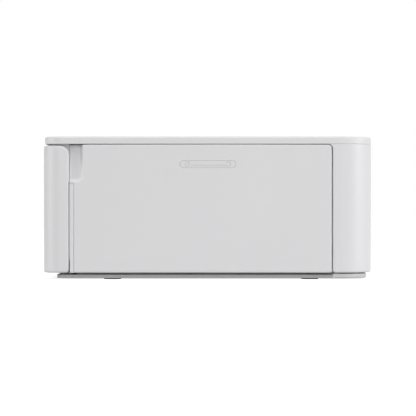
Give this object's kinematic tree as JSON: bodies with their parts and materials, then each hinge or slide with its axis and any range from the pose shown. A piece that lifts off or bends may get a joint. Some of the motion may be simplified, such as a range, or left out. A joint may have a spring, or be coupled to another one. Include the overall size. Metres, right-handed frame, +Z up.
{
  "type": "compact photo printer",
  "caption": "Flat box-shaped photo printer with a drop-down front cover, a side door over a ribbon cassette, a display and push buttons on its lid, and a geared feed mechanism inside.",
  "frame": {"origin": "centre of the body's footprint, on the surface that the feet stand on", "axes": "+X towards the side with the ink door, -Y towards the front cover, +Z up"},
  "size_m": [0.1822, 0.133, 0.0576],
  "materials": {
    "shell": "fine-textured off-white moulding",
    "inner_shell": "plain off-white moulding",
    "feet": "matt",
    "steel": "zinc-plated sheet and turned steel",
    "screw": "zinc-plated",
    "window": "polished black-edged window",
    "display": "unlit display",
    "board": "solder mask",
    "button": "satin",
    "light": "translucent light pipe",
    "roller": "ground rubber",
    "gear": "natural acetal",
    "brass": "turned",
    "aluminium": "extruded",
    "head": "ceramic and moulded block",
    "cassette": "translucent blue-grey moulding",
    "grip": "satin",
    "film": "thin film",
    "ribbon": "wound film",
    "dark_plastic": "satin",
    "grey_plastic": "satin"
  },
  "bodies": {
    "housing": {"base_tray": "inner_shell", "rubber_feet": "feet", "base_screws": "screw", "rear_shell": "shell", "top_cover": "shell", "front_bezel": "inner_shell", "door_frame": "inner_shell", "hinge_bracket": "steel", "ink_door_hinge_pins": "steel", "front_cover_hinge_pins": "steel", "rear_vent_grille": "inner_shell", "display_window": "window", "lcd_module": "display", "button_board": "board", "status_light": "light", "chassis_left_plate": "steel", "chassis_right_plate": "steel", "chassis_cross_bars": "steel", "paper_guide_plate": "steel", "roller_bushes": "brass", "feed_motor": "steel", "head_pivot_shaft": "steel", "head_springs": "steel", "main_board": "board", "data_sockets": "steel", "dc_in_socket": "dark_plastic", "fan_frame": "dark_plastic"},
    "front_cover": {"front_cover": "shell"},
    "ink_door": {"ink_door": "shell"},
    "head": {"head_arm": "steel", "head_heat_sink": "aluminium", "thermal_head": "head"},
    "platen": {"platen_roller": "roller", "platen_shaft": "steel", "platen_gear": "gear"},
    "capstan": {"capstan_roller": "steel", "capstan_gear": "gear"},
    "pinch": {"pinch_roller": "roller"},
    "pick_arm": {"pick_arm": "grey_plastic"},
    "pick_roller": {"pick_roller": "roller"},
    "motor_rotor": {"motor_pinion": "brass"},
    "idler_a": {"idler_gear_a": "gear"},
    "idler_b": {"idler_gear_b": "gear"},
    "idler_c": {"idler_gear_c": "gear"},
    "take_up_drive": {"take_up_drive_gear": "gear"},
    "ink_cassette": {"ink_cassette_case": "cassette", "cassette_grip": "grip", "ribbon_film": "film"},
    "supply_spool": {"supply_spool": "ribbon"},
    "take_up_spool": {"take_up_spool": "ribbon"},
    "eject_lever": {"eject_lever": "grey_plastic"},
    "fan_rotor": {"fan_rotor": "dark_plastic"},
    "power_button": {"power_button": "button"},
    "menu_button": {"menu_button": "button"},
    "back_button": {"back_button": "button"},
    "ok_button": {"ok_button": "button"},
    "up_button": {"up_button": "button"},
    "down_button": {"down_button": "button"},
    "left_button": {"left_button": "button"},
    "right_button": {"right_button": "button"}
  },
  "joints": [
    {"name": "front_cover_hinge", "type": "hinge", "parent": "housing", "child": "front_cover", "pos_m": [0, -0.0636, 0.0053], "axis": [1, 0, 0], "range_deg": [0, 90]},
    {"name": "ink_door_hinge", "type": "hinge", "parent": "housing", "child": "ink_door", "pos_m": [0.0885, 0.0469, 0.028], "axis": [0, 0, 1], "range_deg": [0, 95]},
    {"name": "head_lift", "type": "hinge", "parent": "housing", "child": "head", "pos_m": [0, 0.048, 0.05], "axis": [1, 0, 0], "range_deg": [0, 3.5]},
    {"name": "platen_spin", "type": "hinge", "parent": "housing", "child": "platen", "pos_m": [0, 0.012, 0.02], "axis": [1, 0, 0], "continuous": true},
    {"name": "idler_b_spin", "type": "hinge", "parent": "housing", "child": "idler_b", "pos_m": [0, -0.00269, 0.03584], "axis": [1, 0, 0], "continuous": true},
    {"name": "idler_c_spin", "type": "hinge", "parent": "housing", "child": "idler_c", "pos_m": [0, 0.0322, 0.02764], "axis": [1, 0, 0], "continuous": true},
    {"name": "idler_a_spin", "type": "hinge", "parent": "housing", "child": "idler_a", "pos_m": [0, -0.02665, 0.03717], "axis": [1, 0, 0], "continuous": true},
    {"name": "capstan_spin", "type": "hinge", "parent": "housing", "child": "capstan", "pos_m": [0, 0.053, 0.0218], "axis": [1, 0, 0], "continuous": true},
    {"name": "pinch_spin", "type": "hinge", "parent": "housing", "child": "pinch", "pos_m": [0, 0.053, 0.0296], "axis": [1, 0, 0], "continuous": true},
    {"name": "motor_spin", "type": "hinge", "parent": "housing", "child": "motor_rotor", "pos_m": [0, -0.042, 0.044], "axis": [1, 0, 0], "continuous": true},
    {"name": "take_up_drive_spin", "type": "hinge", "parent": "housing", "child": "take_up_drive", "pos_m": [0, -0.0131, 0.03598], "axis": [1, 0, 0], "continuous": true},
    {"name": "cassette_slide", "type": "slide", "parent": "housing", "child": "ink_cassette", "axis": [1, 0, 0], "range_m": [0, 0.008]},
    {"name": "take_up_spin", "type": "hinge", "parent": "ink_cassette", "child": "take_up_spool", "pos_m": [0, -0.0131, 0.03598], "axis": [1, 0, 0], "continuous": true},
    {"name": "supply_spin", "type": "hinge", "parent": "ink_cassette", "child": "supply_spool", "pos_m": [0, 0.032, 0.0362], "axis": [1, 0, 0], "continuous": true},
    {"name": "eject_lever_hinge", "type": "hinge", "parent": "housing", "child": "eject_lever", "pos_m": [0.07, -0.0155, 0.016], "axis": [0, 1, 0], "range_deg": [0, 35.2]},
    {"name": "pick_arm_hinge", "type": "hinge", "parent": "housing", "child": "pick_arm", "pos_m": [0, -0.024, 0.0465], "axis": [1, 0, 0], "range_deg": [0, 20]},
    {"name": "pick_roller_spin", "type": "hinge", "parent": "pick_arm", "child": "pick_roller", "pos_m": [0, -0.036, 0.0375], "axis": [1, 0, 0], "continuous": true},
    {"name": "fan_spin", "type": "hinge", "parent": "housing", "child": "fan_rotor", "pos_m": [0, 0.061, 0.0443], "axis": [0, 1, 0], "continuous": true},
    {"name": "power_button_press", "type": "slide", "parent": "housing", "child": "power_button", "axis": [0, 0, -1], "range_m": [0, 0.0006], "stiffness_N_per_m": 1500},
    {"name": "menu_button_press", "type": "slide", "parent": "housing", "child": "menu_button", "axis": [0, 0, -1], "range_m": [0, 0.0006], "stiffness_N_per_m": 1500},
    {"name": "back_button_press", "type": "slide", "parent": "housing", "child": "back_button", "axis": [0, 0, -1], "range_m": [0, 0.0006], "stiffness_N_per_m": 1500},
    {"name": "ok_button_press", "type": "slide", "parent": "housing", "child": "ok_button", "axis": [0, 0, -1], "range_m": [0, 0.0006], "stiffness_N_per_m": 1500},
    {"name": "up_button_press", "type": "slide", "parent": "housing", "child": "up_button", "axis": [0, 0, -1], "range_m": [0, 0.0006], "stiffness_N_per_m": 1500},
    {"name": "down_button_press", "type": "slide", "parent": "housing", "child": "down_button", "axis": [0, 0, -1], "range_m": [0, 0.0006], "stiffness_N_per_m": 1500},
    {"name": "left_button_press", "type": "slide", "parent": "housing", "child": "left_button", "axis": [0, 0, -1], "range_m": [0, 0.0006], "stiffness_N_per_m": 1500},
    {"name": "right_button_press", "type": "slide", "parent": "housing", "child": "right_button", "axis": [0, 0, -1], "range_m": [0, 0.0006], "stiffness_N_per_m": 1500}
  ],
  "couplings": [
    {"joint": "idler_b_spin", "follows": "platen_spin", "ratio": -0.8},
    {"joint": "idler_c_spin", "follows": "platen_spin", "ratio": -0.8},
    {"joint": "idler_a_spin", "follows": "platen_spin", "ratio": 0.8},
    {"joint": "capstan_spin", "follows": "platen_spin", "ratio": 1},
    {"joint": "motor_spin", "follows": "platen_spin", "ratio": -2},
    {"joint": "take_up_drive_spin", "follows": "platen_spin", "ratio": -0.71111},
    {"joint": "pinch_spin", "follows": "platen_spin", "ratio": -1.1429},
    {"joint": "take_up_spin", "follows": "platen_spin", "ratio": -0.71111},
    {"joint": "supply_spin", "follows": "platen_spin", "ratio": -0.47059},
    {"joint": "pick_roller_spin", "follows": "platen_spin", "ratio": 1},
    {"joint": "eject_lever_hinge", "follows": "cassette_slide", "rad_per_m": 76.358}
  ]
}
